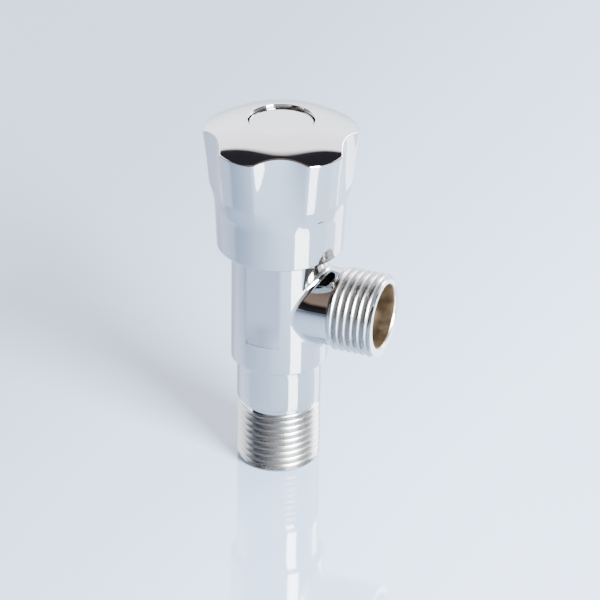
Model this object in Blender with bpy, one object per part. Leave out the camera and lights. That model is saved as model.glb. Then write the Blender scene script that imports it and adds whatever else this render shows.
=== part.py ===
"""Angle stop valve, 1/2 inch: a chrome-plated brass body with a threaded inlet and a threaded side outlet,
a screw-down headwork and a fluted round handle.

Metres, +Z up. The valve axis is Z, the inlet end face is the plane Z = 0 and the outlet points along +X.
The lengths below are in millimetres and are scaled once, by MM.
"""

import math

import bmesh
import bpy
from mathutils import Matrix, Vector

for old in list(bpy.data.objects):
    bpy.data.objects.remove(old, do_unlink=True)

MM = 0.001

# --- pipe threads, G 1/2 ---
THREAD_CREST_R = 10.478
THREAD_ROOT_R = 9.316
THREAD_PITCH = 1.8143
THREAD_STEPS = 32

# --- body ---
INLET_THREAD_TOP = 16.2
STEP_R = 10.6
STEP_BOTTOM = 17.6
BODY_R = 12.15
BODY_BOTTOM = 29.2
BODY_TOP = 63.5
FLAT_HALF = 11.25
FLAT_BOTTOM = 36.9
INLET_BORE_R = 7.8
SEAT_BORE_R = 4.6
SEAT_LIP_R = 5.7
SEAT_LIP_Z = 36.2
CHAMBER_FLOOR_Z = 35.2
CHAMBER_R = 8.6
OUTLET_Z = 45.46
OUTLET_END_X = 27.7
OUTLET_BORE_R = 8.1
NECK_R = 9.75
NECK_FILLET_R = 1.6

# --- headwork ---
BONNET_R = 8.3
BONNET_BARREL_R = 7.2
BONNET_BARREL_BOTTOM = 46.0
BONNET_FLANGE_R = 11.5
BONNET_FLANGE_Z = 64.5
BONNET_HEX_AF = 17.0
BONNET_HEX_Z = (65.7, 71.0)
BONNET_NECK_R = 6.8
BONNET_TOP = 75.5
SPINDLE_BORE_R = 4.3
SPINDLE_R = 4.0
SPINDLE_BARREL_R = 5.3
SPINDLE_BARREL_Z = (52.2, 66.0)
SPINDLE_TOP = 86.0
SPLINE_TEETH = 16
SPLINE_R = (3.5, 3.95)
GUIDE_AF = 9.0
GUIDE_GAP = 0.3
PLUG_STEM_R = 3.2
PLUG_DISC_R = 6.9

# --- handle ---
HANDLE_BOTTOM = 60.5
HANDLE_LOBES = 5
FLUTE_HALF_DEG = 20.5
HANDLE_CAVITY_R = 13.2
HANDLE_CAVITY_TOP = 78.0
HUB_R = 7.4
HUB_BOTTOM = 77.4
BUSH_R = 5.6
WEB_Z = (86.7, 88.2)
CAP_RECESS_R = 8.14
CAP_R = 7.85
CAP_TOP = 93.6
# radius of the handle over a flute and over a ridge, at heights from the bottom edge to the rolled top edge
SIDE = (
    (61.1, 15.80, 15.80),
    (71.6, 16.30, 16.30),
    (72.6, 16.28, 16.50),
    (74.2, 16.20, 17.05),
    (76.6, 16.12, 17.60),
    (84.0, 16.20, 18.35),
    (90.3, 16.45, 19.15),
    (96.0, 16.70, 19.85),
)
CROWN_R = 40.0
CROWN_EDGE_Z = 94.3


def between(rows, x, column):
    """Straight-line value of one column of a table at x, held at both ends."""
    if x <= rows[0][0]:
        return rows[0][column]
    for low, high in zip(rows, rows[1:]):
        if x <= high[0]:
            share = (x - low[0]) / (high[0] - low[0])
            return low[column] + share * (high[column] - low[column])
    return rows[-1][column]


def crown(r):
    """Height of the domed top of the handle at a radius."""
    return CROWN_EDGE_Z + math.sqrt(CROWN_R ** 2 - r * r) - math.sqrt(CROWN_R ** 2 - CAP_RECESS_R ** 2)


MATERIALS = {}


def material(name, colour, roughness, metallic):
    if name not in MATERIALS:
        made = bpy.data.materials.new(name)
        made.use_nodes = True
        shader = made.node_tree.nodes["Principled BSDF"]
        shader.inputs["Base Color"].default_value = (*colour, 1.0)
        shader.inputs["Roughness"].default_value = roughness
        shader.inputs["Metallic"].default_value = metallic
        made.diffuse_color = (*colour, 1.0)
        MATERIALS[name] = made
    return MATERIALS[name]


CHROME = ("chrome_plate", (0.80, 0.82, 0.84), 0.06, 1.0)
BRASS = ("machined_brass", (0.62, 0.43, 0.18), 0.28, 1.0)
STEEL = ("stainless_steel", (0.58, 0.58, 0.57), 0.25, 1.0)
RUBBER = ("black_rubber", (0.015, 0.015, 0.016), 0.65, 0.0)
FIBRE = ("gasket_fibre", (0.22, 0.07, 0.04), 0.80, 0.0)
PTFE = ("white_ptfe", (0.80, 0.80, 0.78), 0.45, 0.0)
NYLON = ("grey_nylon", (0.33, 0.34, 0.35), 0.50, 0.0)


def finish(name, mesh, origin, look):
    """Closes the bmesh off into an object whose origin is the given point, in millimetres."""
    bmesh.ops.remove_doubles(mesh, verts=mesh.verts, dist=1e-7)
    bmesh.ops.translate(mesh, verts=mesh.verts, vec=-Vector(origin) * MM)
    bmesh.ops.recalc_face_normals(mesh, faces=mesh.faces)
    data = bpy.data.meshes.new(name)
    mesh.to_mesh(data)
    mesh.free()
    data.shade_smooth()
    data.set_sharp_from_angle(angle=math.radians(32))
    made = bpy.data.objects.new(name, data)
    made.location = Vector(origin) * MM
    bpy.context.scene.collection.objects.link(made)
    if look:
        data.materials.append(material(*look))
    return made


def turned(name, profile, look=None, steps=48, closed=False, origin=None, start=0.0, along_x=None):
    """A turned solid: the profile of (radius, height) points is spun about Z.

    An open profile starts and ends on the axis; a closed one makes a ring. With along_x the axis
    is moved to X at that height and heights become distances along X."""
    mesh = bmesh.new()
    spin_start = Matrix.Rotation(start, 3, "Z")
    points = [mesh.verts.new(spin_start @ (Vector((r, 0.0, z)) * MM)) for r, z in profile]
    pairs = list(zip(points, points[1:])) + ([(points[-1], points[0])] if closed else [])
    edges = [mesh.edges.new(pair) for pair in pairs]
    bmesh.ops.spin(mesh, geom=points + edges, cent=(0, 0, 0), axis=(0, 0, 1), dvec=(0, 0, 0),
                   angle=2 * math.pi, steps=steps, use_merge=True, use_duplicate=False)
    if along_x is not None:
        lay_along_x(mesh, along_x)
    if origin is None:
        origin = (0.0, 0.0, min(z for _, z in profile)) if along_x is None else (0.0, 0.0, along_x)
    return finish(name, mesh, origin, look)


def lay_along_x(mesh, height):
    bmesh.ops.rotate(mesh, verts=mesh.verts, cent=(0, 0, 0), matrix=Matrix.Rotation(math.pi / 2, 3, "Y"))
    bmesh.ops.translate(mesh, verts=mesh.verts, vec=(0, 0, height * MM))


def threaded(name, length, chamfer_at, crest_at, along_x=None, end_r=9.75):
    """A solid bar with a right-hand V thread on it from height 0 to length.

    chamfer_at is the end with the chamfer, 0 or length; the other end runs out. crest_at is the
    height of one crest at angle 0; end_r is the radius of the chamfered end."""
    def envelope(z):
        from_end = abs(z - chamfer_at)
        from_root = length - from_end
        return min(THREAD_CREST_R, end_r + from_end * 0.9, 9.0 + from_root * 2.2)

    turns = int(length / THREAD_PITCH) + 4
    first = crest_at - THREAD_PITCH * (int(crest_at / THREAD_PITCH) + 2)
    mesh = bmesh.new()
    grid = {}
    for i in range(THREAD_STEPS):
        angle = 2 * math.pi * i / THREAD_STEPS
        for j in range(2 * turns + 6):
            raw = first + THREAD_PITCH * (j / 2 + i / THREAD_STEPS)
            z = min(max(raw, 0.0), length)
            tall = THREAD_CREST_R if j % 2 == 0 else THREAD_ROOT_R
            if z != raw:
                phase = ((z - first) / THREAD_PITCH - i / THREAD_STEPS) % 1.0
                tall = THREAD_ROOT_R + (THREAD_CREST_R - THREAD_ROOT_R) * abs(2 * phase - 1)
            r = min(tall, envelope(z))
            grid[i, j] = mesh.verts.new(Vector((r * math.cos(angle), r * math.sin(angle), z)) * MM)
    for i in range(THREAD_STEPS):
        for j in range(2 * turns + 3):
            if i < THREAD_STEPS - 1:
                corners = (grid[i, j], grid[i + 1, j], grid[i + 1, j + 1], grid[i, j + 1])
            else:
                corners = (grid[i, j], grid[0, j + 2], grid[0, j + 3], grid[i, j + 1])
            mesh.faces.new(corners)
    bmesh.ops.remove_doubles(mesh, verts=mesh.verts, dist=1e-6)
    stray = [v for v in mesh.verts if not v.link_faces]
    bmesh.ops.delete(mesh, geom=stray, context="VERTS")
    for z in (0.0, length):
        rim = [e for e in mesh.edges if e.is_boundary and abs(e.verts[0].co.z - z * MM) < 5e-6]
        for edge in rim:
            for vertex in edge.verts:
                vertex.co.z = z * MM
        middle = mesh.verts.new((0, 0, z * MM))
        for edge in rim:
            mesh.faces.new((edge.verts[0], edge.verts[1], middle))
    if along_x is not None:
        height, offset = along_x
        bmesh.ops.translate(mesh, verts=mesh.verts, vec=(0, 0, offset * MM))
        lay_along_x(mesh, height)
    return finish(name, mesh, (0, 0, 0), None)


def saddle_fillet(name, steps=40, arc=4):
    """A ring whose outside is the fillet between the upright body cylinder and the outlet neck."""
    mesh = bmesh.new()
    rings = []
    for k in range(steps):
        angle = 2 * math.pi * k / steps
        reach = NECK_R + NECK_FILLET_R
        y, up = reach * math.sin(angle), reach * math.cos(angle)
        centre = Vector((math.sqrt((BODY_R + NECK_FILLET_R) ** 2 - y * y), y, up))
        flat = Vector((centre.x, centre.y, 0)).normalized()
        on_body = Vector((flat.x * (BODY_R - 0.06), flat.y * (BODY_R - 0.06), up))
        side = Vector((0, centre.y, centre.z)).normalized() * (NECK_R - 0.06)
        on_neck = Vector((centre.x, side.y, side.z))
        a, b = (on_body - centre).normalized(), (on_neck - centre).normalized()
        swing = a.angle(b)
        arc_points = []
        for m in range(arc):
            share = m / (arc - 1)
            turn = (a * math.sin((1 - share) * swing) + b * math.sin(share * swing)) / math.sin(swing)
            arc_points.append(centre + turn * NECK_FILLET_R)
        arc_points[0], arc_points[-1] = on_body, on_neck
        deep = Vector((flat.x * (BODY_R - 1.0), side.y * 0.9, side.z * 0.9))
        arc_points.append(deep)
        rings.append([mesh.verts.new(Vector((p.x, p.y, p.z + OUTLET_Z)) * MM) for p in arc_points])
    for k in range(steps):
        here, there = rings[k], rings[(k + 1) % steps]
        for m in range(len(here)):
            n = (m + 1) % len(here)
            mesh.faces.new((here[m], there[m], there[n], here[n]))
    return finish(name, mesh, (0, 0, 0), None)


def prism(name, outline, low, high, look=None):
    """A straight solid on an outline of (x, y) points."""
    mesh = bmesh.new()
    face = mesh.faces.new([mesh.verts.new(Vector((x, y, low)) * MM) for x, y in outline])
    grown = bmesh.ops.extrude_face_region(mesh, geom=[face])
    lifted = [v for v in grown["geom"] if isinstance(v, bmesh.types.BMVert)]
    bmesh.ops.translate(mesh, verts=lifted, vec=(0, 0, (high - low) * MM))
    return finish(name, mesh, (0, 0, low), look)


def block(name, low, high):
    mesh = bmesh.new()
    bmesh.ops.create_cube(mesh, size=1.0)
    size = [b - a for a, b in zip(low, high)]
    bmesh.ops.scale(mesh, verts=mesh.verts, vec=Vector(size) * MM)
    middle = Vector([(a + b) / 2 for a, b in zip(low, high)])
    bmesh.ops.translate(mesh, verts=mesh.verts, vec=middle * MM)
    return finish(name, mesh, (0, 0, 0), None)


def splined(teeth, low, high, grow=0.0):
    """Outline of a spline with straight-sided teeth between two radii."""
    outline = []
    for k in range(2 * teeth):
        angle = math.pi * k / teeth
        r = (high if k % 2 == 0 else low) + grow
        outline.append((r * math.cos(angle), r * math.sin(angle)))
    return outline


def combine(target, tool, operation):
    tool.hide_render = True
    tool.display_type = "WIRE"
    change = target.modifiers.new(operation.lower() + "_" + tool.name, "BOOLEAN")
    change.object = tool
    change.operation = operation
    change.solver = "EXACT"


def cut(target, *tools):
    for tool in tools:
        combine(target, tool, "DIFFERENCE")


def join(target, *tools):
    for tool in tools:
        combine(target, tool, "UNION")


def o_ring(name, ring_r, cord_r, z, look=RUBBER, steps=24, around=6):
    circle = [(ring_r + cord_r * math.cos(2 * math.pi * k / around), z + cord_r * math.sin(2 * math.pi * k / around))
              for k in range(around)]
    return turned(name, circle, look, steps=steps, closed=True, origin=(0, 0, z))


def washer(name, inner, outer, low, high, look, steps=24):
    return turned(name, [(inner, low), (outer, low), (outer, high), (inner, high)], look, steps=steps, closed=True)


# ---------------------------------------------------------------- valve body
body = turned("valve_body", [
    (0, 1.0), (8.9, 1.0), (8.9, 14.6), (9.45, 15.3), (9.45, 17.2), (10.2, STEP_BOTTOM), (STEP_R, STEP_BOTTOM + 0.45),
    (STEP_R, BODY_BOTTOM), (11.75, BODY_BOTTOM), (BODY_R, BODY_BOTTOM + 0.5),
    (BODY_R, BODY_TOP - 0.5), (BODY_R - 0.5, BODY_TOP), (0, BODY_TOP)],
    CHROME, steps=44, origin=(0, 0, 0))
join(body,
     threaded("inlet_thread_bar", INLET_THREAD_TOP, 0.0, 15.18),
     turned("outlet_neck_bar", [(0, 1.0), (NECK_R, 1.0), (NECK_R, 16.4), (9.2, 17.2), (8.9, 26.5), (0, 26.5)],
            steps=36, along_x=OUTLET_Z),
     threaded("outlet_thread_bar", OUTLET_END_X - 15.9, OUTLET_END_X - 15.9, 17.664 - 15.9, along_x=(OUTLET_Z, 15.9), end_r=10.2),
     saddle_fillet("neck_fillet_ring"))
cut(body,
    turned("inlet_bore_cutter", [(0, -2.0), (INLET_BORE_R + 2.6, -2.0), (INLET_BORE_R, 0.6), (INLET_BORE_R, 27.6),
                                 (SEAT_BORE_R, 30.8), (SEAT_BORE_R, 40.0), (0, 40.0)], steps=30, start=0.07),
    turned("chamber_cutter", [(0, SEAT_LIP_Z), (SEAT_LIP_R, SEAT_LIP_Z), (SEAT_LIP_R + 0.5, CHAMBER_FLOOR_Z),
                              (CHAMBER_R, CHAMBER_FLOOR_Z), (CHAMBER_R, 70.0), (0, 70.0)], steps=36, start=0.03),
    turned("outlet_bore_cutter", [(0, 2.0), (OUTLET_BORE_R, 2.0), (OUTLET_BORE_R, OUTLET_END_X - 0.4),
                                  (OUTLET_BORE_R + 1.9, OUTLET_END_X + 1.5), (0, OUTLET_END_X + 1.5)],
           steps=30, start=0.07, along_x=OUTLET_Z),
    block("front_flat_cutter", (-9, -16, FLAT_BOTTOM), (6.9, -FLAT_HALF, 70)),
    block("back_flat_cutter", (-9, FLAT_HALF, FLAT_BOTTOM), (6.9, 16, 70)))

# ---------------------------------------------------------------- headwork, fixed pieces
bonnet = turned("bonnet", [
    (0, BONNET_BARREL_BOTTOM), (BONNET_BARREL_R - 0.4, BONNET_BARREL_BOTTOM), (BONNET_BARREL_R, BONNET_BARREL_BOTTOM + 0.4),
    (BONNET_BARREL_R, 53.8), (BONNET_R, 54.2), (BONNET_R, 55.4), (BONNET_R - 1.15, 55.5), (BONNET_R - 1.15, 57.1),
    (BONNET_R, 57.2), (BONNET_R, BONNET_FLANGE_Z), (BONNET_FLANGE_R, BONNET_FLANGE_Z), (BONNET_FLANGE_R, 65.5),
    (BONNET_FLANGE_R - 0.3, 65.8), (BONNET_NECK_R, 65.8), (BONNET_NECK_R, BONNET_TOP - 0.4), (BONNET_NECK_R - 0.4, BONNET_TOP),
    (0, BONNET_TOP)], BRASS, steps=28, origin=(0, 0, BONNET_FLANGE_Z))
hex_corner = BONNET_HEX_AF / math.sqrt(3)
join(bonnet, turned("bonnet_hex", [(0, 65.0), (hex_corner, 65.0), (hex_corner, BONNET_HEX_Z[1] - 0.5),
                                   (hex_corner - 0.8, BONNET_HEX_Z[1]), (0, BONNET_HEX_Z[1])], steps=6))
guide_corner = (GUIDE_AF / 2 + GUIDE_GAP) * 2 / math.sqrt(3)
cut(bonnet,
    turned("guide_cutter", [(0, 44.0), (guide_corner, 44.0), (guide_corner, 54.0), (0, 54.0)], steps=6),
    turned("spindle_cutter", [(0, 51.9), (SPINDLE_BARREL_R + 0.3, 51.9), (SPINDLE_BARREL_R + 0.3, 66.9),
                              (SPINDLE_BORE_R, 66.9), (SPINDLE_BORE_R, 80.0), (0, 80.0)], steps=28))
washer("bonnet_gasket", 8.9, 11.4, BODY_TOP + 0.1, BONNET_FLANGE_Z - 0.1, FIBRE, steps=28)
o_ring("bonnet_o_ring", 7.85, 0.58, 56.3, steps=28)

# ---------------------------------------------------------------- handle body: spindle and what turns with it
spindle = turned("spindle", [
    (0, SPINDLE_BARREL_Z[0]), (SPINDLE_BARREL_R, SPINDLE_BARREL_Z[0]), (SPINDLE_BARREL_R, SPINDLE_BARREL_Z[1]),
    (SPINDLE_R, SPINDLE_BARREL_Z[1]), (SPINDLE_R, 69.0), (2.8, 69.0), (2.8, 70.8), (SPINDLE_R, 70.8), (SPINDLE_R, 72.2),
    (2.8, 72.2), (2.8, 74.0), (SPINDLE_R, 74.0), (SPINDLE_R, 75.8), (3.2, 75.8), (3.2, 76.7), (SPINDLE_R, 76.7),
    (SPINDLE_R, 77.3), (3.4, 77.6), (3.4, SPINDLE_TOP - 0.1), (0, SPINDLE_TOP - 0.1)],
    BRASS, steps=24, origin=(0, 0, SPINDLE_BARREL_Z[0]))
join(spindle, prism("spline_teeth", splined(SPLINE_TEETH, *SPLINE_R), 77.4, SPINDLE_TOP))
cut(spindle,
    turned("lift_thread_cutter", [(0, 51.0), (PLUG_STEM_R + 0.3, 51.0), (PLUG_STEM_R + 0.3, 66.2), (0, 67.6)], steps=20),
    turned("tapped_hole_cutter", [(0, 76.4), (1.75, 77.4), (1.75, 88.0), (0, 88.0)], steps=14))
washer("thrust_washer", 4.3, 5.35, 66.1, 66.8, PTFE)
o_ring("spindle_o_ring_lower", 3.52, 0.6, 69.9)
o_ring("spindle_o_ring_upper", 3.52, 0.6, 73.1)

clip = []
for k in range(17):
    angle = math.radians(20 + 320 * k / 16)
    clip.append((5.4 * math.cos(angle), 5.4 * math.sin(angle)))
for k in range(17):
    angle = math.radians(340 - 320 * k / 16)
    clip.append((3.4 * math.cos(angle), 3.4 * math.sin(angle)))
prism("retaining_clip", clip, 75.95, 76.55, STEEL)


# handle: one closed skin of upright strips, each following the flute or lobe at its angle
def handle_side(from_flute, z):
    """Radius of the handle's side at an angle from the nearest flute centre."""
    flute, lobe = between(SIDE, z, 1), between(SIDE, z, 2)
    edge = math.radians(FLUTE_HALF_DEG)
    turn = abs(from_flute)
    if turn >= edge:
        across = (turn - edge) / (math.pi / HANDLE_LOBES - edge)
        return lobe + 0.12 * (lobe - flute) * across * (2 - across)
    sag = lobe * math.cos(edge) - flute
    if sag <= 0.02:
        return flute + (lobe - flute) * (turn / edge) ** 2
    # concave arc through the flute centre and the two edges beside it
    chord = lobe * math.sin(edge)
    bow = (chord * chord + sag * sag) / (2 * sag)
    away = flute + bow
    return away * math.cos(turn) - math.sqrt(bow * bow - (away * math.sin(turn)) ** 2)


def handle_blank(name):
    half = 180.0 / HANDLE_LOBES
    from_flutes = [0, 5, 10, 15, 18.5, FLUTE_HALF_DEG, 24, 30, half]
    degrees = [-a for a in reversed(from_flutes[1:-1])] + from_flutes
    mesh = bmesh.new()
    strips = []
    for lobe in range(HANDLE_LOBES):
        for degree in degrees:
            angle = math.radians(lobe * 360.0 / HANDLE_LOBES + degree - 90 + 21.35)
            from_flute = math.radians(degree)
            profile = [(15.3, HANDLE_BOTTOM)]
            profile += [(handle_side(from_flute, z), z) for z in (61.1, 71.6, 72.6, 74.2, 76.6, 84.0)]
            z = 91.0
            for _ in range(40):
                z += 0.5 * (crown(handle_side(from_flute, z)) - z)
            rim = handle_side(from_flute, z)
            profile.append((rim, z))
            profile += [(r, crown(r)) for r in (rim - 2.4, 11.6, 9.0)]
            strips.append([mesh.verts.new(Vector((r * math.cos(angle), r * math.sin(angle), h)) * MM) for r, h in profile])
    count = len(strips)
    for i in range(count):
        here, there = strips[i], strips[(i + 1) % count]
        for m in range(len(here) - 1):
            mesh.faces.new((here[m], there[m], there[m + 1], here[m + 1]))
    mesh.faces.new([s[0] for s in strips])
    mesh.faces.new([s[-1] for s in strips])
    return finish(name, mesh, (0, 0, HANDLE_BOTTOM), CHROME)


handle = handle_blank("handle")
cut(handle,
    turned("skirt_cavity_cutter", [(0, 59.0), (HANDLE_CAVITY_R, 59.0), (HANDLE_CAVITY_R, HANDLE_CAVITY_TOP - 1.0),
                                   (HANDLE_CAVITY_R - 1.0, HANDLE_CAVITY_TOP), (HANDLE_CAVITY_R - 1.0, 84.0), (HUB_R, 84.0),
                                   (HUB_R, HUB_BOTTOM), (0, HUB_BOTTOM)], steps=32),
    turned("bush_socket_cutter", [(0, 76.0), (BUSH_R, 76.0), (BUSH_R, WEB_Z[0]), (2.2, WEB_Z[0]), (2.2, WEB_Z[1] + 1.0),
                                  (0, WEB_Z[1] + 1.0)], steps=24),
    turned("cap_recess_cutter", [(0, WEB_Z[1]), (CAP_RECESS_R, WEB_Z[1]), (CAP_RECESS_R, 96.0), (0, 96.0)], steps=36))

bush = turned("spline_bush", [(0, 77.6), (BUSH_R - 0.2, 77.6), (BUSH_R - 0.2, 86.5), (0, 86.5)], NYLON, steps=24)
cut(bush, prism("bush_spline_cutter", splined(SPLINE_TEETH, *SPLINE_R, grow=0.3), 77.0, 87.0))

screw = turned("handle_screw", [
    (0, 78.6), (1.1, 78.6), (1.5, 79.0), (1.5, 89.1), (3.4, 89.1), (3.4, 90.3), (2.9, 90.9), (1.9, 91.3), (0, 91.4)],
    STEEL, steps=18)
for name, size in (("screw_slot_a", (2.1, 0.4)), ("screw_slot_b", (0.4, 2.1))):
    cut(screw, block(name, (-size[0], -size[1], 89.9), (size[0], size[1], 92.0)))
washer("screw_washer", 1.85, 4.2, 88.35, 88.95, STEEL)

turned("index_cap", [
    (0, 92.2), (6.2, 92.2), (6.2, 90.2), (7.3, 90.2), (7.3, 91.0), (6.85, 91.15), (6.85, 91.95), (7.3, 92.1), (7.3, 92.4), (CAP_R, 92.4), (CAP_R, CAP_TOP - 0.2),
    (CAP_R - 0.2, CAP_TOP), (0, CAP_TOP)], CHROME, steps=32, origin=(0, 0, 90.2))
o_ring("cap_retaining_ring", 7.4, 0.36, 91.55)

# ---------------------------------------------------------------- valve plug: pieces that lift together
plug = turned("valve_plug", [
    (0, 39.2), (PLUG_DISC_R - 0.3, 39.2), (PLUG_DISC_R, 39.5), (PLUG_DISC_R, 40.7), (PLUG_DISC_R - 0.3, 41.0), (3.6, 41.0),
    (PLUG_STEM_R, 41.4), (PLUG_STEM_R, 60.6), (PLUG_STEM_R - 0.4, 61.0), (0, 61.0)], BRASS, steps=24, origin=(0, 0, 39.2))
flat_corner = GUIDE_AF / math.sqrt(3)
join(plug, turned("guide_hex", [(0, 40.6), (flat_corner, 40.6), (flat_corner, 46.9), (flat_corner - 0.5, 47.2), (0, 47.2)], steps=6))
cut(plug, turned("plug_tap_cutter", [(0, 38.0), (1.75, 38.0), (1.75, 44.0), (0, 45.0)], steps=14))
turned("washer_cup", [(2.1, 38.4), (6.2, 38.4), (6.2, 37.2), (6.8, 37.2), (6.8, 39.05), (2.1, 39.05)], STEEL, steps=24, closed=True,
       origin=(0, 0, 37.2))
washer("seat_washer", 2.1, 6.0, 36.4, 38.25, RUBBER)
washer("washer_retainer", 1.85, 3.7, 35.6, 36.25, STEEL)
jumper = turned("washer_screw", [(0, 33.9), (2.4, 33.9), (3.0, 34.4), (3.0, 35.45), (1.5, 35.45), (1.5, 43.2), (1.1, 43.6), (0, 43.6)],
                BRASS, steps=16)
cut(jumper, block("washer_screw_slot", (-3.5, -0.4, 33.0), (3.5, 0.4, 34.6)))
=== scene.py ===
import math

import bmesh
import bpy
from mathutils import Matrix, Vector


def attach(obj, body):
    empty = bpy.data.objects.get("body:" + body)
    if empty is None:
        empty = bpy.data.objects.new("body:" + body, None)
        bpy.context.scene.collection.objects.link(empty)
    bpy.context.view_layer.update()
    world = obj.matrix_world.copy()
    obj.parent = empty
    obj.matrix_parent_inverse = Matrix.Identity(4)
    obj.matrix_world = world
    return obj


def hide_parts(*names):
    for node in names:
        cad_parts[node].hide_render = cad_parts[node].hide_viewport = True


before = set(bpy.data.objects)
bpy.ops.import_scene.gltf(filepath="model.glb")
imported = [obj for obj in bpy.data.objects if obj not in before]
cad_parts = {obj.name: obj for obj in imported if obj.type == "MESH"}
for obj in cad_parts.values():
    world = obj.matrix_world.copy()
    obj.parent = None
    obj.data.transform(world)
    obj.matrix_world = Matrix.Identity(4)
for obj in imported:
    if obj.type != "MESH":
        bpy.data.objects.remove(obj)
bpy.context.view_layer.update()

MM = 0.001
scene = bpy.context.scene

# direction from the valve towards the camera, on the floor
CAMERA_AZ = math.radians(21.35)
TO_CAMERA = Vector((math.sin(CAMERA_AZ), -math.cos(CAMERA_AZ), 0.0))


# ------------------------------------------------------------------ materials
def new_material(name, colour, roughness, metallic):
    made = bpy.data.materials.new(name)
    made.use_nodes = True
    shader = made.node_tree.nodes["Principled BSDF"]
    shader.inputs["Base Color"].default_value = (*colour, 1.0)
    shader.inputs["Roughness"].default_value = roughness
    shader.inputs["Metallic"].default_value = metallic
    return made, made.node_tree, shader


def noise(tree, scale, detail=3.0, coords=None, stretch=None):
    place = tree.nodes.new("ShaderNodeTexCoord")
    out = place.outputs["Object"]
    if stretch:
        mapping = tree.nodes.new("ShaderNodeMapping")
        mapping.inputs["Scale"].default_value = stretch
        tree.links.new(out, mapping.inputs["Vector"])
        out = mapping.outputs["Vector"]
    node = tree.nodes.new("ShaderNodeTexNoise")
    node.inputs["Scale"].default_value = scale
    node.inputs["Detail"].default_value = detail
    tree.links.new(out, node.inputs["Vector"])
    return node.outputs["Fac"]


def ramp(tree, source, stops, linear=True):
    node = tree.nodes.new("ShaderNodeValToRGB")
    node.color_ramp.interpolation = "LINEAR" if linear else "EASE"
    while len(node.color_ramp.elements) < len(stops):
        node.color_ramp.elements.new(0.5)
    for element, (at, colour) in zip(node.color_ramp.elements, stops):
        element.position = at
        element.color = (*colour, 1.0) if len(colour) == 3 else colour
    tree.links.new(source, node.inputs["Fac"])
    return node.outputs["Color"]


def bump(tree, shader, height, strength, distance):
    node = tree.nodes.new("ShaderNodeBump")
    node.inputs["Strength"].default_value = strength
    node.inputs["Distance"].default_value = distance
    tree.links.new(height, node.inputs["Height"])
    tree.links.new(node.outputs["Normal"], shader.inputs["Normal"])


def grey(value):
    return (value, value, value)


def chrome(name, low=0.035, high=0.085, ripple=0.02, bright=1.0):
    made, tree, shader = new_material(name, (0.35, 0.385, 0.425), 0.05, 1.0)
    haze = noise(tree, 95.0, 4.0)
    tree.links.new(ramp(tree, haze, [(0.30, grey(low)), (0.55, grey((low + high) / 2)), (0.80, grey(high))]), shader.inputs["Roughness"])
    tint = noise(tree, 40.0, 2.0)
    tree.links.new(ramp(tree, tint, [(0.3, (0.47 * bright, 0.47 * bright, 0.465 * bright)), (0.7, (0.50 * bright, 0.495 * bright, 0.485 * bright))]), shader.inputs["Base Color"])
    bump(tree, shader, noise(tree, 60.0, 1.5), ripple, 0.0004)
    return made


def turned_metal(name, dark, light, roughness, along="Z", pitch=2600.0):
    made, tree, shader = new_material(name, light, roughness, 1.0)
    place = tree.nodes.new("ShaderNodeTexCoord")
    wave = tree.nodes.new("ShaderNodeTexWave")
    wave.wave_type = "BANDS"
    wave.bands_direction = along
    wave.inputs["Scale"].default_value = pitch
    wave.inputs["Distortion"].default_value = 0.6
    wave.inputs["Detail"].default_value = 1.0
    tree.links.new(place.outputs["Object"], wave.inputs["Vector"])
    cloud = noise(tree, 220.0, 5.0)
    tree.links.new(ramp(tree, cloud, [(0.25, dark), (0.75, light)]), shader.inputs["Base Color"])
    tree.links.new(ramp(tree, cloud, [(0.2, grey(roughness * 0.7)), (0.8, grey(min(1.0, roughness * 1.5)))]), shader.inputs["Roughness"])
    bump(tree, shader, wave.outputs["Fac"], 0.25, 0.00003)
    return made


def dull(name, dark, light, roughness, grain=900.0, strength=0.3):
    made, tree, shader = new_material(name, light, roughness, 0.0)
    cloud = noise(tree, grain, 4.0)
    tree.links.new(ramp(tree, cloud, [(0.3, dark), (0.7, light)]), shader.inputs["Base Color"])
    bump(tree, shader, noise(tree, grain * 2.0, 3.0), strength, 0.00004)
    return made


CHROME_BODY = chrome("chrome_body")
CHROME_HANDLE = chrome("chrome_handle", 0.03, 0.075, 0.015)
CHROME_THREAD = chrome("chrome_thread", 0.22, 0.32, 0.02, 0.72)
CHROME_CAP = chrome("chrome_cap", 0.05, 0.10, 0.01)
BRASS_BORE_X = turned_metal("brass_bore_outlet", (0.16, 0.12, 0.085), (0.40, 0.31, 0.20), 0.30, "X", 1500.0)
BRASS_BORE_Z = turned_metal("brass_bore_inlet", (0.24, 0.14, 0.055), (0.48, 0.31, 0.12), 0.30, "Z", 1500.0)
BRASS = turned_metal("brass_turned", (0.42, 0.27, 0.10), (0.66, 0.46, 0.20), 0.26)
STEEL = turned_metal("steel_turned", (0.42, 0.42, 0.42), (0.62, 0.62, 0.61), 0.24)
RUBBER = dull("rubber_black", (0.010, 0.010, 0.011), (0.028, 0.028, 0.030), 0.62)
FIBRE = dull("gasket_fibre", (0.13, 0.035, 0.02), (0.26, 0.09, 0.05), 0.85, 1400.0, 0.5)
PTFE = dull("ptfe_white", (0.70, 0.70, 0.68), (0.83, 0.83, 0.81), 0.42, 500.0, 0.1)
NYLON = dull("nylon_grey", (0.26, 0.27, 0.28), (0.36, 0.37, 0.38), 0.50, 600.0, 0.15)


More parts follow.
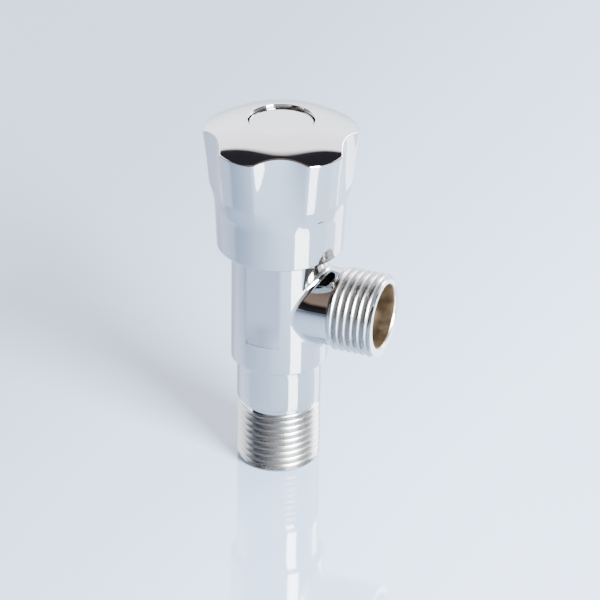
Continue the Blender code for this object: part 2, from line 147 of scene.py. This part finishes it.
# ------------------------------------------------------------------ mesh helpers
def piece(name, points, faces, body, nodes, materials, sharp=30.0):
    data = bpy.data.meshes.new(name)
    data.from_pydata([Vector(p) * MM for p in points], [], faces)
    data.validate()
    work = bmesh.new()
    work.from_mesh(data)
    bmesh.ops.remove_doubles(work, verts=work.verts, dist=2e-7)
    bmesh.ops.dissolve_degenerate(work, edges=work.edges, dist=1e-8)
    loose = [v for v in work.verts if not v.link_faces]
    bmesh.ops.delete(work, geom=loose, context="VERTS")
    bmesh.ops.recalc_face_normals(work, faces=work.faces)
    work.to_mesh(data)
    work.free()
    for made in materials:
        data.materials.append(made)
    data.shade_smooth()
    data.set_sharp_from_angle(angle=math.radians(sharp))
    obj = bpy.data.objects.new(name, data)
    scene.collection.objects.link(obj)
    if body:
        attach(obj, body)
        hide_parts(*nodes)
    return obj


def arc_points(centre, radius, start, end, count):
    """Points (r, z) along an arc, angles in degrees from +r towards +z."""
    return [(centre[0] + radius * math.cos(math.radians(start + (end - start) * k / count)),
             centre[1] + radius * math.sin(math.radians(start + (end - start) * k / count))) for k in range(count + 1)]


def lathe_mesh(profile, steps, closed=False):
    """(points, faces) of a profile of (radius, height) turned about Z; open profiles start and end on the axis."""
    points, faces = [], []
    count = len(profile)
    for i in range(steps):
        a = 2 * math.pi * i / steps
        for r, z in profile:
            points.append((r * math.cos(a), r * math.sin(a), z))
    spans = count if closed else count - 1
    for i in range(steps):
        n = (i + 1) % steps
        for j in range(spans):
            k = (j + 1) % count
            faces.append((i * count + j, n * count + j, n * count + k, i * count + k))
    return points, faces


def between(rows, x, column):
    if x <= rows[0][0]:
        return rows[0][column]
    for low, high in zip(rows, rows[1:]):
        if x <= high[0]:
            share = (x - low[0]) / (high[0] - low[0])
            return low[column] + share * (high[column] - low[column])
    return rows[-1][column]


def smooth_between(rows, x, column):
    """Like between, but eased over 0.4 mm about each row so that the surface has no crease."""
    total, weight = 0.0, 0.0
    for k in range(-6, 7):
        w = 1.0 - abs(k) / 7.0
        total += w * between(rows, x + k * 0.06, column)
        weight += w
    return total / weight


# ------------------------------------------------------------------ handle
SIDE = (
    (61.0, 15.79, 15.79), (71.2, 16.28, 16.28), (72.4, 16.28, 16.46), (74.2, 16.20, 16.94), (76.6, 16.12, 17.60),
    (84.0, 16.20, 18.35), (90.3, 16.45, 19.15), (96.0, 16.70, 19.85),
)
LOBES, FLUTE_HALF = 5, math.radians(20.5)
CAP_RECESS_R, CROWN_R, CROWN_EDGE_Z = 8.14, 40.0, 94.3


def crown(r):
    return CROWN_EDGE_Z + math.sqrt(CROWN_R ** 2 - r * r) - math.sqrt(CROWN_R ** 2 - CAP_RECESS_R ** 2)


def flute_and_lobe(turn, z):
    flute, lobe = smooth_between(SIDE, z, 1), smooth_between(SIDE, z, 2)
    turn = abs(turn)
    if turn >= FLUTE_HALF:
        across = (turn - FLUTE_HALF) / (math.pi / LOBES - FLUTE_HALF)
        return lobe + 0.12 * (lobe - flute) * across * (2 - across)
    # a parabola across the flute, which turns over into the round skirt lower down
    bend = (lobe * math.cos(FLUTE_HALF) - flute) / (lobe * math.sin(FLUTE_HALF)) ** 2
    c, s = math.cos(turn), math.sin(turn)
    return 2 * flute / (c + math.sqrt(c * c - 4 * bend * flute * s * s))


def handle_side(turn, z):
    """Side radius with the edge between flute and lobe rounded over about 1.5 degrees."""
    period = 2 * math.pi / LOBES
    total, weight = 0.0, 0.0
    for k in range(-3, 4):
        w = 1.0 - abs(k) / 4.0
        t = (turn + math.radians(0.55) * k + period / 2) % period - period / 2
        total += w * flute_and_lobe(t, z)
        weight += w
    return total / weight


def build_handle():
    strips_per_lobe = 72
    count = strips_per_lobe * LOBES
    heights = [61.3 + 0.9 * k for k in range(12)] + [71.6 + 0.35 * k for k in range(17)]
    heights += [78.2 + 1.0 * k for k in range(11)] + [88.9]
    points, faces, rows = [], [], 0
    for i in range(count):
        turn = 2 * math.pi * i / count
        angle = turn - math.pi / 2 + CAMERA_AZ
        # underside and rounded bottom edge
        profile = [(13.2, HANDLE_BOTTOM + 0.15), (13.4, HANDLE_BOTTOM)]
        profile += arc_points((15.25, HANDLE_BOTTOM + 0.55), 0.55, -90, -4, 6)
        profile += [(handle_side(turn, z), z) for z in heights]
        z = 91.0
        for _ in range(30):
            z += 0.5 * (crown(handle_side(turn, z)) - z)
        rim = handle_side(turn, z)
        # the edge between side and crown is rounded a little
        low = min(z - 0.32, z)
        side_low = handle_side(turn, low)
        profile = [p for p in profile if p[1] < low - 0.1]
        top_r = rim - 0.42
        corner = Vector((rim, z))
        first, last = Vector((side_low, low)), Vector((top_r, crown(top_r)))
        for k in range(7):
            t = k / 6
            p = first * (1 - t) ** 2 + corner * 2 * t * (1 - t) + last * t * t
            profile.append((p.x, p.y))
        inner_edge = CAP_RECESS_R + 0.3
        for k in range(1, 15):
            r = top_r + (inner_edge - top_r) * k / 14
            profile.append((r, crown(r)))
        edge_z = crown(inner_edge)
        profile += [(inner_edge - 0.12, edge_z - 0.02), (CAP_RECESS_R + 0.06, edge_z - 0.1), (CAP_RECESS_R, edge_z - 0.26),
                    (CAP_RECESS_R, 90.5), (CAP_RECESS_R, 88.2), (2.2, 88.2), (2.2, 86.7), (5.6, 86.7), (5.6, 77.4), (7.4, 77.4),
                    (7.4, 84.0), (12.2, 84.0), (12.2, 78.0), (13.2, 77.0), (13.2, 68.0)]
        fixed = len(profile)
        rows = max(rows, fixed)
        points.append((angle, profile))
    # every strip gets the same number of rows
    flat_points = []
    for angle, profile in points:
        while len(profile) < rows:
            gap = max(range(3, 40), key=lambda m: profile[m + 1][1] - profile[m][1])
            a, b = profile[gap], profile[gap + 1]
            profile.insert(gap + 1, ((a[0] + b[0]) / 2, (a[1] + b[1]) / 2))
        flat_points += [(r * math.cos(angle), r * math.sin(angle), z) for r, z in profile]
    for i in range(count):
        n = (i + 1) % count
        for j in range(rows):
            k = (j + 1) % rows
            faces.append((i * rows + j, n * rows + j, n * rows + k, i * rows + k))
    return piece("handle_shell", flat_points, faces, "knob", ["handle"], [CHROME_HANDLE], sharp=35.0)


HANDLE_BOTTOM = 60.5
build_handle()

cap_profile = [(0, 92.2), (6.2, 92.2), (6.2, 90.2), (7.25, 90.2), (7.25, 91.0), (6.85, 91.15), (6.85, 91.95), (7.3, 92.1), (7.3, 92.4), (7.85, 92.45)]
cap_profile += arc_points((7.6, 93.20), 0.25, 0, 82, 6)
cap_profile += [(7.2 - 0.4 * k, 93.455 + 0.14 * (1 - ((7.2 - 0.4 * k) / 7.2) ** 2)) for k in range(18)] + [(0, 93.595)]
points, faces = lathe_mesh(cap_profile, 120)
piece("index_button", points, faces, "knob", ["index_cap"], [CHROME_CAP], sharp=40.0)


# ------------------------------------------------------------------ valve body
THREAD_CREST, THREAD_ROOT, PITCH = 10.478, 9.316, 1.8143
BODY_R, STEP_R, NECK_R, FILLET = 12.15, 10.6, 9.75, 1.6
OUTLET_Z, OUTLET_END = 45.46, 27.7
FLAT, FLAT_Z = 11.25, 36.9
SUB = 8


def thread_radius(phase):
    """Radius at a share of the pitch from a crest: straight flanks at 55 degrees, rounded crest and root."""
    t = abs(((phase + 0.5) % 1.0) - 0.5) * 2.0
    t = min(max((t - 0.12) / 0.76, 0.0), 1.0)
    eased = t * t * (3 - 2 * t) * 0.35 + t * 0.65
    return THREAD_CREST + (THREAD_ROOT - THREAD_CREST) * eased


def thread_rows(angles, length, crest_at, envelope, flip):
    """For each angle a list of (radius, distance) rows from 0 to length, all the same number. The flip argument is not
    used."""
    turns = int(length / PITCH) + 4
    first = crest_at - PITCH * (int(crest_at / PITCH) + 2)
    columns = []
    for a in angles:
        share = a / (2 * math.pi)
        column = []
        for j in range(SUB * (turns + 2)):
            raw = first + PITCH * (j / SUB + share)
            z = min(max(raw, 0.0), length)
            r = min(thread_radius((z - first) / PITCH - share), envelope(z))
            column.append((r, z))
        columns.append(column)
    return columns


class Skin:
    """Collects points and faces of one surface, with columns that can be joined to their neighbours."""

    def __init__(self):
        self.points, self.faces = [], []

    def add(self, p):
        self.points.append(tuple(p))
        return len(self.points) - 1

    def band(self, low, high):
        """Quads between two closed loops of point numbers."""
        n = len(low)
        for i in range(n):
            k = (i + 1) % n
            quad = (low[i], low[k], high[k], high[i])
            self.faces.append(quad)

    def fan(self, loop, centre):
        middle = self.add(centre)
        n = len(loop)
        for i in range(n):
            self.faces.append((loop[i], loop[(i + 1) % n], middle))


def helix_band(skin, angles, columns, place):
    """Threaded surface between its first and last loop. Rows follow the helix, so the seam column joins one
    pitch further on. Returns the first and last loop."""
    n, rows = len(angles), len(columns[0])
    ids = [[skin.add(place(angles[i], *columns[i][j])) for j in range(rows)] for i in range(n)]
    for i in range(n - 1):
        for j in range(rows - 1):
            skin.faces.append((ids[i][j], ids[i + 1][j], ids[i + 1][j + 1], ids[i][j + 1]))
    for j in range(rows - 1 - SUB):
        skin.faces.append((ids[n - 1][j], ids[0][j + SUB], ids[0][j + SUB + 1], ids[n - 1][j + 1]))
    return [c[0] for c in ids], [c[-1] for c in ids]


def body_radius(theta, z):
    if z > FLAT_Z + 0.01:
        off = abs(abs(math.degrees(theta)) - 90.0)
        if off < 22.3:
            depth = BODY_R - min(BODY_R, FLAT / math.cos(math.radians(off)))
            return BODY_R - depth * (0.15 + 0.85 * min(1.0, (z - FLAT_Z) / 6.0))
    return BODY_R


def build_body():
    skin = Skin()
    edge = math.degrees(math.acos(FLAT / BODY_R))
    degrees = [2.0 * i for i in range(180)]
    for k, d in enumerate(degrees):
        for middle in (90.0, 270.0):
            for sign in (-1, 1):
                if abs(d - (middle + sign * edge)) <= 1.0:
                    degrees[k] = middle + sign * edge
    angles = [math.radians(d) for d in degrees]
    n = len(angles)

    def upright(a, r, z):
        return (r * math.cos(a), r * math.sin(a), z)

    def inlet_envelope(z):
        return min(THREAD_CREST, 9.7 + z * 0.95, 9.45 + max(0.0, 16.4 - z) * 1.1)

    columns = thread_rows(angles, 16.4, 15.18, inlet_envelope, False)
    bottom, top = helix_band(skin, angles, columns, upright)
    skin.fan(bottom, (0, 0, 0))
    ring_profile = [(9.45, 16.9), (9.5, 17.35), (9.7, 17.6), (10.15, 17.6)]
    ring_profile += arc_points((10.15, 18.05), 0.45, -75, 0, 5) + [(STEP_R, 20.0), (STEP_R, 24.0), (STEP_R, 27.0), (STEP_R, 28.9)]
    ring_profile += [(STEP_R + 0.08, 29.12), (STEP_R + 0.3, 29.2), (11.8, 29.2)] + arc_points((11.8, 29.55), 0.35, -75, 0, 5)
    ring_profile += [(BODY_R, 30.6)]
    previous = top
    for r, z in ring_profile:
        loop = [skin.add(upright(a, r, z)) for a in angles]
        skin.band(previous, loop)
        previous = loop
    # body wall with a window round the outlet
    heights = [32.0 + k for k in range(5)] + [FLAT_Z, FLAT_Z + 0.04, 38.4, 39.9, 41.4] + [42.9 + 16.1 * k / 18 for k in range(19)] + [60.2, 61.5]
    low_z, high_z = 32.0, 59.0
    half_window = 32
    window = set(list(range(0, half_window + 1)) + list(range(n - half_window, n)))
    grid = {}
    for i in range(n):
        grid[i, -1] = previous[i]
        for j, z in enumerate(heights):
            inside = (i < half_window or i > n - half_window) and low_z < z < high_z
            if not inside:
                grid[i, j] = skin.add(upright(angles[i], body_radius((angles[i] + math.pi) % (2 * math.pi) - math.pi, z), z))
    for i in range(n):
        k = (i + 1) % n
        for j in range(-1, len(heights) - 1):
            corners = [(i, j), (k, j), (k, j + 1), (i, j + 1)]
            in_columns = i < half_window or i >= n - half_window
            if in_columns and j >= 0 and heights[j] >= low_z and heights[j + 1] <= high_z:
                continue
            skin.faces.append(tuple(grid[c] for c in corners))
    top_loop = [grid[i, len(heights) - 1] for i in range(n)]
    for drop, z in ((0.0, 62.9), (0.35, 63.4), (0.6, 63.5)):
        loop = [skin.add(upright(a, body_radius((a + math.pi) % (2 * math.pi) - math.pi, 62.0) - drop, z)) for a in angles]
        skin.band(top_loop, loop)
        top_loop = loop
    skin.fan(top_loop, (0, 0, 63.5))
    # window boundary as a loop, starting at the middle of its top edge and going towards -Y first
    top_j, low_j = heights.index(high_z), heights.index(low_z)
    loop = [((-k) % n, top_j) for k in range(0, half_window + 1)]
    loop += [((-half_window) % n, j) for j in range(top_j - 1, low_j - 1, -1)]
    loop += [((k - half_window) % n, low_j) for k in range(1, 2 * half_window + 1)]
    loop += [(half_window, j) for j in range(low_j + 1, top_j + 1)]
    loop += [(k, top_j) for k in range(half_window - 1, 0, -1)]
    outer = [grid[c] for c in loop]
    flat_outer = []
    for i, j in loop:
        theta = (angles[i] + math.pi) % (2 * math.pi) - math.pi
        flat_outer.append((theta, heights[j]))
    # direction of each loop point round the outlet axis: angle from +Z towards -Y
    turns = [math.atan2(-theta * BODY_R, z - OUTLET_Z) for theta, z in flat_outer]
    reach = NECK_R + FILLET

    def ball(turn):
        y, up = -reach * math.sin(turn), reach * math.cos(turn)
        return Vector((math.sqrt((BODY_R + FILLET) ** 2 - y * y), y, up))

    contact = []
    for turn in turns:
        c = ball(turn)
        contact.append((math.atan2(c.y, c.x), c.z + OUTLET_Z))
    previous = outer
    steps = 9
    for s in range(1, steps + 1):
        share = s / steps
        share = share * (1.25 - 0.25 * share)
        ring = []
        for (t0, z0), (t1, z1) in zip(flat_outer, contact):
            theta, z = t0 + (t1 - t0) * share, z0 + (z1 - z0) * share
            ring.append(skin.add(upright(theta, BODY_R, z)))
        skin.band(previous, ring)
        previous = ring
    arc = 10
    for s in range(1, arc + 1):
        ring = []
        for turn in turns:
            c = ball(turn)
            a = Vector((c.x, c.y, 0)).normalized() * BODY_R + Vector((0, 0, c.z)) - c
            side = Vector((0, c.y, c.z)).normalized() * NECK_R
            b = Vector((c.x, side.y, side.z)) - c
            a.normalize()
            b.normalize()
            swing = a.angle(b)
            share = s / arc
            p = c + (a * math.sin((1 - share) * swing) + b * math.sin(share * swing)) * (FILLET / math.sin(swing))
            ring.append(skin.add((p.x, p.y, p.z + OUTLET_Z)))
        skin.band(previous, ring)
        previous = ring

    def along(turn, r, x):
        return (x, -r * math.sin(turn), OUTLET_Z + r * math.cos(turn))

    start_x = 15.9
    for share in (0.35, 0.7, 1.0):
        ring = []
        for turn in turns:
            x0 = ball(turn).x
            ring.append(skin.add(along(turn, NECK_R, x0 + (start_x - 0.25 - x0) * share)))
        skin.band(previous, ring)
        previous = ring

    length = OUTLET_END - start_x

    def outlet_envelope(x):
        return min(THREAD_CREST, NECK_R + x * 0.9, 10.2 + (length - x) * 0.9)

    # seen from the outlet end the turn angle runs clockwise, so it is negated for a right-hand thread
    columns = thread_rows([-t for t in turns], length, 17.664 - start_x, outlet_envelope, True)
    cols = len(turns)
    seam = max(range(cols), key=lambda i: abs(turns[(i + 1) % cols] - turns[i]))
    order = [(seam + 1 + i) % cols for i in range(cols)]
    rows = len(columns[0])
    ids = [[skin.add(along(turns[i], r, start_x + x)) for r, x in columns[i]] for i in order]
    # turn grows along the order or falls; the helix then steps one pitch at the seam
    rising = turns[order[1]] > turns[order[0]]
    for i in range(cols - 1):
        for j in range(rows - 1):
            skin.faces.append((ids[i][j], ids[i + 1][j], ids[i + 1][j + 1], ids[i][j + 1]))
    for j in range(rows - 1 - SUB):
        if rising:
            skin.faces.append((ids[cols - 1][j + SUB], ids[0][j], ids[0][j + 1], ids[cols - 1][j + SUB + 1]))
        else:
            skin.faces.append((ids[cols - 1][j], ids[0][j + SUB], ids[0][j + SUB + 1], ids[cols - 1][j + 1]))
    first = [None] * cols
    last = [None] * cols
    for place, i in enumerate(order):
        first[i], last[i] = ids[place][0], ids[place][-1]
    skin.band(previous, first)
    skin.fan(last, (OUTLET_END, 0, OUTLET_Z))
    return skin


skin = build_body()
shell = piece("body_shell", skin.points, skin.faces, None, [], [CHROME_BODY, BRASS_BORE_Z, BRASS_BORE_X], sharp=30.0)


def cutter(name, profile, steps, along_x=False):
    points, faces = lathe_mesh(profile, steps)
    obj = piece(name, points, faces, None, [], [BRASS_BORE_Z], sharp=30.0)
    if along_x:
        obj.data.transform(Matrix.Translation((0, 0, OUTLET_Z * MM)) @ Matrix.Rotation(math.pi / 2, 4, "Y"))
    return obj


tools = [
    cutter("inlet_cutter", [(0, -2.0), (9.2, -2.0), (8.35, -0.2), (8.2, 0.15), (7.8, 0.5), (7.8, 27.6), (4.6, 30.8), (4.6, 40.0), (0, 40.0)], 90),
    cutter("chamber_cutter", [(0, 36.2), (5.7, 36.2), (6.2, 35.2), (8.6, 35.2), (8.6, 70.0), (0, 70.0)], 110),
    cutter("outlet_cutter", [(0, 2.0), (8.1, 2.0), (8.1, OUTLET_END - 0.35), (8.25, OUTLET_END - 0.1), (8.5, OUTLET_END + 0.2), (9.5, OUTLET_END + 1.5),
                             (0, OUTLET_END + 1.5)], 100, True),
]
for tool in tools:
    change = shell.modifiers.new(tool.name, "BOOLEAN")
    change.object = tool
    change.operation = "DIFFERENCE"
    change.solver = "MANIFOLD"
graph = bpy.context.evaluated_depsgraph_get()
finished = bpy.data.meshes.new_from_object(shell.evaluated_get(graph))
shell.modifiers.clear()
shell.data = finished
finished.materials.clear()
for made in (CHROME_BODY, BRASS_BORE_Z, BRASS_BORE_X, CHROME_THREAD):
    finished.materials.append(made)
for tool in tools:
    bpy.data.objects.remove(tool, do_unlink=True)
for face in finished.polygons:
    c = face.center / MM
    from_axis = math.hypot(c.x, c.y)
    from_outlet = math.hypot(c.y, c.z - OUTLET_Z)
    if from_outlet < 8.3 and c.x > 5.0 and c.x < OUTLET_END - 0.05:
        face.material_index = 2
    elif from_axis < 8.75 and c.z > 0.02 and c.z < 63.45:
        face.material_index = 1
    elif c.z < 16.0 or (from_outlet < 10.7 and 17.0 < c.x < OUTLET_END - 0.9):
        face.material_index = 3
    else:
        face.material_index = 0
finished.shade_smooth()
finished.set_sharp_from_angle(angle=math.radians(30))
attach(shell, "housing")
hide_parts("valve_body")

# ------------------------------------------------------------------ finishes of the pieces that stay as they are
LOOKS = {
    "bonnet": BRASS, "spindle": BRASS, "valve_plug": BRASS, "washer_screw": BRASS,
    "handle_screw": STEEL, "screw_washer": STEEL, "retaining_clip": STEEL, "washer_cup": STEEL, "washer_retainer": STEEL,
    "bonnet_o_ring": RUBBER, "cap_retaining_ring": RUBBER, "spindle_o_ring_lower": RUBBER, "spindle_o_ring_upper": RUBBER,
    "seat_washer": RUBBER, "bonnet_gasket": FIBRE, "thrust_washer": PTFE, "spline_bush": NYLON,
    "valve_body": CHROME_BODY, "handle": CHROME_HANDLE, "index_cap": CHROME_CAP,
}
for node, look in LOOKS.items():
    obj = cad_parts[node]
    if not obj.material_slots:
        obj.data.materials.append(look)
    for holder in obj.material_slots:
        holder.material = look

# ------------------------------------------------------------------ floor
made, tree, shader = new_material("floor_acrylic", (0.60, 0.70, 0.83), 0.045, 0.0)
cloud = noise(tree, 2.5, 2.0)
tree.links.new(ramp(tree, cloud, [(0.3, (0.31, 0.395, 0.53)), (0.7, (0.33, 0.415, 0.55))]), shader.inputs["Base Color"])
# painted shade: the floor colour is darkened towards the left, as the light comes from the right
place = tree.nodes.new("ShaderNodeTexCoord")
apart = tree.nodes.new("ShaderNodeSeparateXYZ")
tree.links.new(place.outputs["Object"], apart.inputs["Vector"])
painted_left_shade = tree.nodes.new("ShaderNodeMixRGB")
painted_left_shade.blend_type = "MULTIPLY"
painted_left_shade.inputs["Fac"].default_value = 1.0
across = tree.nodes.new("ShaderNodeMath")
across.operation = "MULTIPLY_ADD"
tree.links.new(apart.outputs["X"], across.inputs[0])
across.inputs[1].default_value = 4.0
across.inputs[2].default_value = 0.5
cloth = [link for link in tree.links if link.to_socket == shader.inputs["Base Color"]][0].from_socket
tree.links.new(cloth, painted_left_shade.inputs["Color1"])
# painted shade ramp: darker to the left, full floor colour to the right
tree.links.new(ramp(tree, across.outputs["Value"], [(0.1, (0.45, 0.47, 0.52)), (0.75, (1.0, 1.0, 1.0))]), painted_left_shade.inputs["Color2"])
tree.links.new(painted_left_shade.outputs["Color"], shader.inputs["Base Color"])
shader.inputs["IOR"].default_value = 2.0
bpy.ops.mesh.primitive_plane_add(size=8.0, location=(0, 0, -0.0002))
floor = bpy.context.active_object
floor.name = "studio_floor"
floor.data.materials.append(made)

# ------------------------------------------------------------------ light
world = bpy.data.worlds.new("studio")
scene.world = world
world.use_nodes = True
tree = world.node_tree
background = tree.nodes["Background"]
place = tree.nodes.new("ShaderNodeTexCoord")


def math_node(operation, *inputs):
    node = tree.nodes.new("ShaderNodeMath")
    node.operation = operation
    for socket, value in zip(node.inputs, inputs):
        if isinstance(value, (int, float)):
            socket.default_value = value
        else:
            tree.links.new(value, socket)
    return node.outputs[0]


def dot(vector):
    node = tree.nodes.new("ShaderNodeVectorMath")
    node.operation = "DOT_PRODUCT"
    tree.links.new(place.outputs["Generated"], node.inputs[0])
    node.inputs[1].default_value = vector
    return node.outputs["Value"]


towards = dot(TO_CAMERA)
up = dot((0, 0, 1))
sideways = dot(Vector((TO_CAMERA.y, -TO_CAMERA.x, 0)) * -1.0)
sideways_squared = math_node("MULTIPLY", sideways, sideways)
# far side: bright below a curved edge, dark above it
far_height = math_node("ADD", up, math_node("MULTIPLY", math_node("MINIMUM", sideways_squared, 0.25), 1.15))
far_colour = ramp(tree, far_height, [(0.0, (2.6, 2.8, 3.1)), (0.30, (4.0, 4.2, 4.7)), (0.60, (4.7, 4.75, 5.2)), (0.925, (4.1, 4.1, 4.4)), (0.955, (0.055, 0.05, 0.065)), (1.0, (0.05, 0.045, 0.06))])
# near side: pale low down; a dark stand on the left, brown higher up, dark above
leftward = math_node("MAXIMUM", math_node("SUBTRACT", math_node("MULTIPLY", sideways, -1.0), 0.25), 0.0)
near_height = math_node("MULTIPLY", math_node("ADD", up, math_node("MULTIPLY", leftward, 1.4)), 0.6)
near_colour = ramp(tree, near_height, [(0.0, (0.95, 1.0, 1.08)), (0.30, (0.85, 0.88, 0.93)), (0.345, (0.05, 0.045, 0.055)), (0.50, (0.02, 0.018, 0.022)),
                                       (0.56, (0.55, 0.41, 0.34)), (0.66, (0.48, 0.35, 0.30)), (0.72, (0.045, 0.04, 0.055)), (1.0, (0.05, 0.045, 0.06))])
facing = ramp(tree, math_node("ADD", math_node("MULTIPLY", towards, 0.5), 0.5), [(0.47, grey(0.0)), (0.53, grey(1.0))])
both = tree.nodes.new("ShaderNodeMixRGB")
tree.links.new(facing, both.inputs["Fac"])
tree.links.new(far_colour, both.inputs["Color1"])
tree.links.new(near_colour, both.inputs["Color2"])
plane_colour = both.outputs["Color"]
side_mask = ramp(tree, math_node("ABSOLUTE", sideways), [(0.80, grey(0.0)), (0.94, grey(1.0))])
mix = tree.nodes.new("ShaderNodeMixRGB")
tree.links.new(side_mask, mix.inputs["Fac"])
tree.links.new(plane_colour, mix.inputs["Color1"])
mix.inputs["Color2"].default_value = (0.66, 0.74, 0.86, 1.0)
tree.links.new(mix.outputs["Color"], background.inputs["Color"])
background.inputs["Strength"].default_value = 1.0


def area(name, azimuth, elevation, distance, width, height, power, colour=(1, 1, 1)):
    """A rectangular softbox; azimuth in degrees to the right of the camera, seen from the valve."""
    data = bpy.data.lights.new(name, "AREA")
    data.shape = "RECTANGLE"
    data.size, data.size_y = width, height
    data.energy = power
    data.color = colour
    obj = bpy.data.objects.new(name, data)
    a = math.radians(-90 + 21.35 + azimuth)
    e = math.radians(elevation)
    spot = Vector((math.cos(a) * math.cos(e), math.sin(a) * math.cos(e), math.sin(e))) * distance
    target = Vector((0, 0, 0.045))
    obj.location = spot + target
    obj.rotation_euler = (target - obj.location).to_track_quat("-Z", "Y").to_euler()
    scene.collection.objects.link(obj)
    return obj


area("softbox_right", 40, 25, 1.6, 0.66, 1.15, 420.0, (0.95, 0.98, 1.0))
area("softbox_back_right", 128, 24, 1.7, 0.7, 0.6, 22.0, (1.0, 0.99, 0.97))

# ------------------------------------------------------------------ camera
data = bpy.data.cameras.new("camera")
data.sensor_width = 36.0
data.lens = 209.07
data.clip_start = 0.05
camera = bpy.data.objects.new("camera", data)
x_axis, y_axis, z_axis = Vector((0.92900, 0.36989, 0.01130)), Vector((-0.18904, 0.44806, 0.87379)), Vector((0.31814, -0.81389, 0.48618))
turn = Matrix((x_axis, y_axis, z_axis)).transposed().to_4x4()
camera.matrix_world = Matrix.Translation((0.2804, -0.7035, 0.4655)) @ turn
scene.collection.objects.link(camera)
scene.camera = camera
